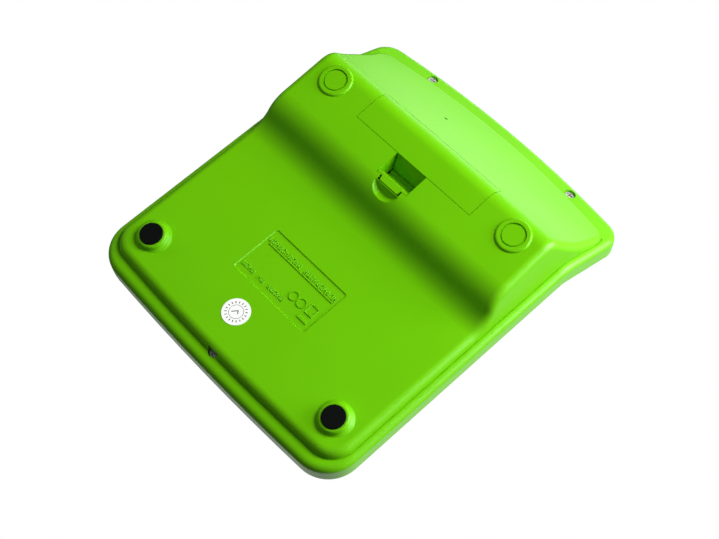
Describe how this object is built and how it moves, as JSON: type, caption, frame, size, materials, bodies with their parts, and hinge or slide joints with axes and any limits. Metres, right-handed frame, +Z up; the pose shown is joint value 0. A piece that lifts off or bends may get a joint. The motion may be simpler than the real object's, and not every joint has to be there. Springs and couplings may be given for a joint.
{
  "type": "desktop calculator",
  "caption": "Small desktop calculator: moulded two-part shell on four feet, tilted display, solar cell, sprung keys and an underside battery door with a sprung latch.",
  "frame": {"origin": "centre of the footprint, on the surface that the four feet stand on", "axes": "+Z up, +Y from the user towards the display, +X to the user's right"},
  "size_m": [0.12, 0.144, 0.0474],
  "materials": {
    "green_shell": "satin moulded plastic",
    "dark_bezel": "gloss",
    "clear_window": "clear moulded window",
    "lcd_glass": "reflective display glass",
    "white_plastic": "matt",
    "ribbon_film": "film",
    "solar_glass": "gloss",
    "wire_sleeve": "matt",
    "silicone_mat": "matt",
    "circuit_board": "solder mask",
    "black_resin": "gloss",
    "screw_steel": "zinc plated",
    "foot_rubber": "matt",
    "sticker_paper": "paper",
    "cell_wrap": "printed sleeve",
    "contact_plate": "nickel plated",
    "key_plastic": "satin",
    "key_plastic_accent": "satin"
  },
  "bodies": {
    "case": {"bottom_case": "green_shell", "top_case": "green_shell", "display_bezel": "dark_bezel", "display_window": "clear_window", "lcd_panel": "lcd_glass", "lcd_holder": "white_plastic", "lcd_ribbon": "ribbon_film", "solar_cell": "solar_glass", "solar_wires": "wire_sleeve", "key_mat": "silicone_mat", "main_board": "circuit_board", "chip_cover": "black_resin", "board_screws": "screw_steel", "case_screws": "screw_steel", "foot_pads": "foot_rubber", "inspection_sticker": "sticker_paper", "battery_cell": "cell_wrap", "positive_contact": "contact_plate", "negative_spring": "contact_plate", "battery_wires": "wire_sleeve"},
    "battery_door": {"battery_door": "green_shell"},
    "door_latch": {"door_latch": "green_shell"},
    "key_all_clear": {"key_all_clear": "key_plastic_accent"},
    "key_0": {"key_0": "key_plastic"},
    "key_point": {"key_point": "key_plastic"},
    "key_equals": {"key_equals": "key_plastic"},
    "key_plus": {"key_plus": "key_plastic"},
    "key_clear": {"key_clear": "key_plastic_accent"},
    "key_1": {"key_1": "key_plastic"},
    "key_2": {"key_2": "key_plastic"},
    "key_3": {"key_3": "key_plastic"},
    "key_root": {"key_root": "key_plastic"},
    "key_4": {"key_4": "key_plastic"},
    "key_5": {"key_5": "key_plastic"},
    "key_6": {"key_6": "key_plastic"},
    "key_minus": {"key_minus": "key_plastic"},
    "key_percent": {"key_percent": "key_plastic"},
    "key_7": {"key_7": "key_plastic"},
    "key_8": {"key_8": "key_plastic"},
    "key_9": {"key_9": "key_plastic"},
    "key_times": {"key_times": "key_plastic"},
    "key_memory_clear": {"key_memory_clear": "key_plastic"},
    "key_memory_recall": {"key_memory_recall": "key_plastic"},
    "key_memory_minus": {"key_memory_minus": "key_plastic"},
    "key_memory_plus": {"key_memory_plus": "key_plastic"},
    "key_divide": {"key_divide": "key_plastic"}
  },
  "joints": [
    {"name": "battery_door_hinge", "type": "hinge", "parent": "case", "child": "battery_door", "pos_m": [0, 0.04134, 0.00471], "axis": [1, 0, 0], "range_deg": [0, 70]},
    {"name": "door_latch_flex", "type": "hinge", "parent": "battery_door", "child": "door_latch", "pos_m": [0, 0.02269, 0.00845], "axis": [1, 0, 0], "range_deg": [0, 7], "stiffness_Nm_per_rad": 0.1},
    {"name": "key_all_clear_press", "type": "slide", "parent": "case", "child": "key_all_clear", "axis": [0, 0.123, -0.9924], "range_m": [0, 0.0012], "stiffness_N_per_m": 400},
    {"name": "key_0_press", "type": "slide", "parent": "case", "child": "key_0", "axis": [0, 0.123, -0.9924], "range_m": [0, 0.0012], "stiffness_N_per_m": 400},
    {"name": "key_point_press", "type": "slide", "parent": "case", "child": "key_point", "axis": [0, 0.123, -0.9924], "range_m": [0, 0.0012], "stiffness_N_per_m": 400},
    {"name": "key_equals_press", "type": "slide", "parent": "case", "child": "key_equals", "axis": [0, 0.123, -0.9924], "range_m": [0, 0.0012], "stiffness_N_per_m": 400},
    {"name": "key_plus_press", "type": "slide", "parent": "case", "child": "key_plus", "axis": [0, 0.123, -0.9924], "range_m": [0, 0.0012], "stiffness_N_per_m": 600},
    {"name": "key_clear_press", "type": "slide", "parent": "case", "child": "key_clear", "axis": [0, 0.123, -0.9924], "range_m": [0, 0.0012], "stiffness_N_per_m": 400},
    {"name": "key_1_press", "type": "slide", "parent": "case", "child": "key_1", "axis": [0, 0.123, -0.9924], "range_m": [0, 0.0012], "stiffness_N_per_m": 400},
    {"name": "key_2_press", "type": "slide", "parent": "case", "child": "key_2", "axis": [0, 0.123, -0.9924], "range_m": [0, 0.0012], "stiffness_N_per_m": 400},
    {"name": "key_3_press", "type": "slide", "parent": "case", "child": "key_3", "axis": [0, 0.123, -0.9924], "range_m": [0, 0.0012], "stiffness_N_per_m": 400},
    {"name": "key_root_press", "type": "slide", "parent": "case", "child": "key_root", "axis": [0, 0.123, -0.9924], "range_m": [0, 0.0012], "stiffness_N_per_m": 400},
    {"name": "key_4_press", "type": "slide", "parent": "case", "child": "key_4", "axis": [0, 0.123, -0.9924], "range_m": [0, 0.0012], "stiffness_N_per_m": 400},
    {"name": "key_5_press", "type": "slide", "parent": "case", "child": "key_5", "axis": [0, 0.123, -0.9924], "range_m": [0, 0.0012], "stiffness_N_per_m": 400},
    {"name": "key_6_press", "type": "slide", "parent": "case", "child": "key_6", "axis": [0, 0.123, -0.9924], "range_m": [0, 0.0012], "stiffness_N_per_m": 400},
    {"name": "key_minus_press", "type": "slide", "parent": "case", "child": "key_minus", "axis": [0, 0.123, -0.9924], "range_m": [0, 0.0012], "stiffness_N_per_m": 400},
    {"name": "key_percent_press", "type": "slide", "parent": "case", "child": "key_percent", "axis": [0, 0.123, -0.9924], "range_m": [0, 0.0012], "stiffness_N_per_m": 400},
    {"name": "key_7_press", "type": "slide", "parent": "case", "child": "key_7", "axis": [0, 0.123, -0.9924], "range_m": [0, 0.0012], "stiffness_N_per_m": 400},
    {"name": "key_8_press", "type": "slide", "parent": "case", "child": "key_8", "axis": [0, 0.123, -0.9924], "range_m": [0, 0.0012], "stiffness_N_per_m": 400},
    {"name": "key_9_press", "type": "slide", "parent": "case", "child": "key_9", "axis": [0, 0.123, -0.9924], "range_m": [0, 0.0012], "stiffness_N_per_m": 400},
    {"name": "key_times_press", "type": "slide", "parent": "case", "child": "key_times", "axis": [0, 0.123, -0.9924], "range_m": [0, 0.0012], "stiffness_N_per_m": 400},
    {"name": "key_memory_clear_press", "type": "slide", "parent": "case", "child": "key_memory_clear", "axis": [0, 0.123, -0.9924], "range_m": [0, 0.0012], "stiffness_N_per_m": 400},
    {"name": "key_memory_recall_press", "type": "slide", "parent": "case", "child": "key_memory_recall", "axis": [0, 0.123, -0.9924], "range_m": [0, 0.0012], "stiffness_N_per_m": 400},
    {"name": "key_memory_minus_press", "type": "slide", "parent": "case", "child": "key_memory_minus", "axis": [0, 0.123, -0.9924], "range_m": [0, 0.0012], "stiffness_N_per_m": 400},
    {"name": "key_memory_plus_press", "type": "slide", "parent": "case", "child": "key_memory_plus", "axis": [0, 0.123, -0.9924], "range_m": [0, 0.0012], "stiffness_N_per_m": 400},
    {"name": "key_divide_press", "type": "slide", "parent": "case", "child": "key_divide", "axis": [0, 0.123, -0.9924], "range_m": [0, 0.0012], "stiffness_N_per_m": 400}
  ]
}
